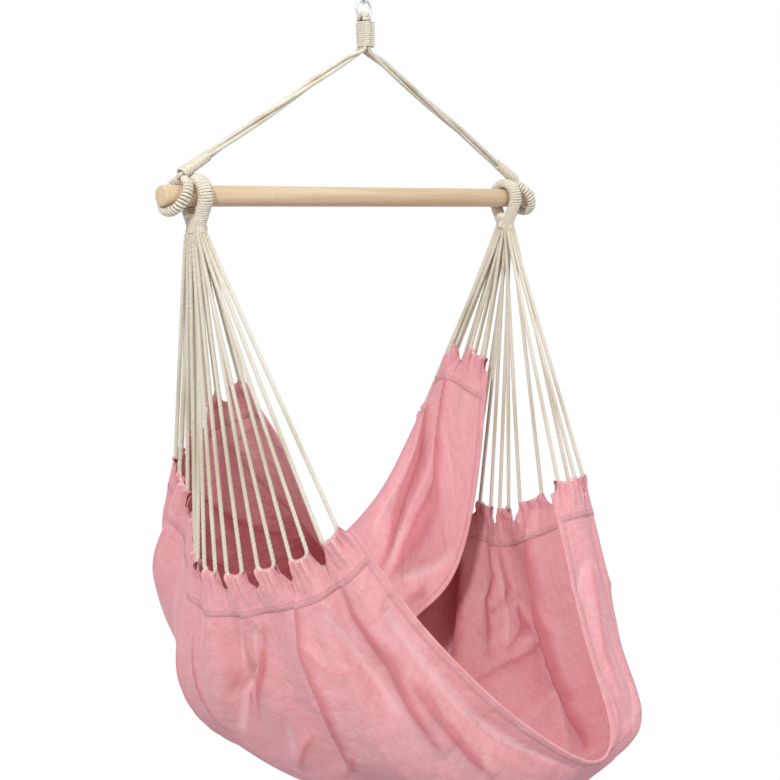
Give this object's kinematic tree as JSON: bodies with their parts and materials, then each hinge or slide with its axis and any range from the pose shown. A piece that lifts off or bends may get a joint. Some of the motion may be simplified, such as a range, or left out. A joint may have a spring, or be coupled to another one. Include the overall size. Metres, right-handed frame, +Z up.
{
  "type": "hammock chair",
  "caption": "Hanging hammock chair: a gathered canvas seat on looped cords from a round wooden spreader bar, with rope legs up to a ring and a steel swivel.",
  "frame": {"origin": "the hang point: inside top of the swivel's upper eye, where what holds the chair up bears", "axes": "+Z up, X along the spreader bar, the open front of the seat towards -Y"},
  "size_m": [0.76, 0.6449, 1.2851],
  "materials": {
    "steel": "bright",
    "cotton_rope": "matte",
    "cotton_twine": "matte",
    "cotton_cord": "matte",
    "beech": "satin",
    "canvas": "matte"
  },
  "bodies": {
    "hanger": {"swivel_body": "steel"},
    "swivel": {"swivel_lower_eye": "steel"},
    "ring": {"ring": "steel"},
    "suspension": {"top_eye": "cotton_rope", "top_eye_winding": "cotton_twine", "leg_left_1": "cotton_rope", "leg_left_2": "cotton_rope", "leg_left_3": "cotton_rope", "leg_right_1": "cotton_rope", "leg_right_2": "cotton_rope", "leg_right_3": "cotton_rope", "sling_left": "cotton_rope", "sling_winding_left": "cotton_twine", "stem_winding_left": "cotton_twine", "sling_right": "cotton_rope", "sling_winding_right": "cotton_twine", "stem_winding_right": "cotton_twine"},
    "bar": {"spreader_bar": "beech"},
    "seat": {"seat_eye_left": "cotton_rope", "seat_eye_right": "cotton_rope", "seat_eye_winding_left": "cotton_twine", "seat_eye_winding_right": "cotton_twine", "neck_winding_left": "cotton_twine", "neck_winding_right": "cotton_twine", "tail_left": "cotton_rope", "tail_right": "cotton_rope", "seat_cord_left_1": "cotton_cord", "seat_cord_left_2": "cotton_cord", "seat_cord_left_3": "cotton_cord", "seat_cord_left_4": "cotton_cord", "seat_cord_left_5": "cotton_cord", "seat_cord_left_6": "cotton_cord", "seat_cord_left_7": "cotton_cord", "seat_cord_left_8": "cotton_cord", "seat_cord_left_9": "cotton_cord", "seat_cord_left_10": "cotton_cord", "seat_cord_left_11": "cotton_cord", "seat_cord_left_12": "cotton_cord", "seat_cord_right_1": "cotton_cord", "seat_cord_right_2": "cotton_cord", "seat_cord_right_3": "cotton_cord", "seat_cord_right_4": "cotton_cord", "seat_cord_right_5": "cotton_cord", "seat_cord_right_6": "cotton_cord", "seat_cord_right_7": "cotton_cord", "seat_cord_right_8": "cotton_cord", "seat_cord_right_9": "cotton_cord", "seat_cord_right_10": "cotton_cord", "seat_cord_right_11": "cotton_cord", "seat_cord_right_12": "cotton_cord", "seat": "canvas"}
  },
  "joints": [
    {"name": "swivel_spin", "type": "hinge", "parent": "hanger", "child": "swivel", "pos_m": [0, 0, -0.0448], "axis": [0, 0, 1], "continuous": true},
    {"name": "ring_swing", "type": "hinge", "parent": "swivel", "child": "ring", "pos_m": [0, 0, -0.0578], "axis": [0, 1, 0], "range_deg": [-30, 30]},
    {"name": "suspension_swing", "type": "hinge", "parent": "ring", "child": "suspension", "pos_m": [0, 0, -0.08175], "axis": [1, 0, 0], "range_deg": [-30, 30]},
    {"name": "bar_roll", "type": "hinge", "parent": "suspension", "child": "bar", "pos_m": [0, 0, -0.352], "axis": [1, 0, 0], "continuous": true},
    {"name": "seat_swing", "type": "hinge", "parent": "suspension", "child": "seat", "pos_m": [0, 0, -0.352], "axis": [1, 0, 0], "range_deg": [-30, 30]}
  ]
}
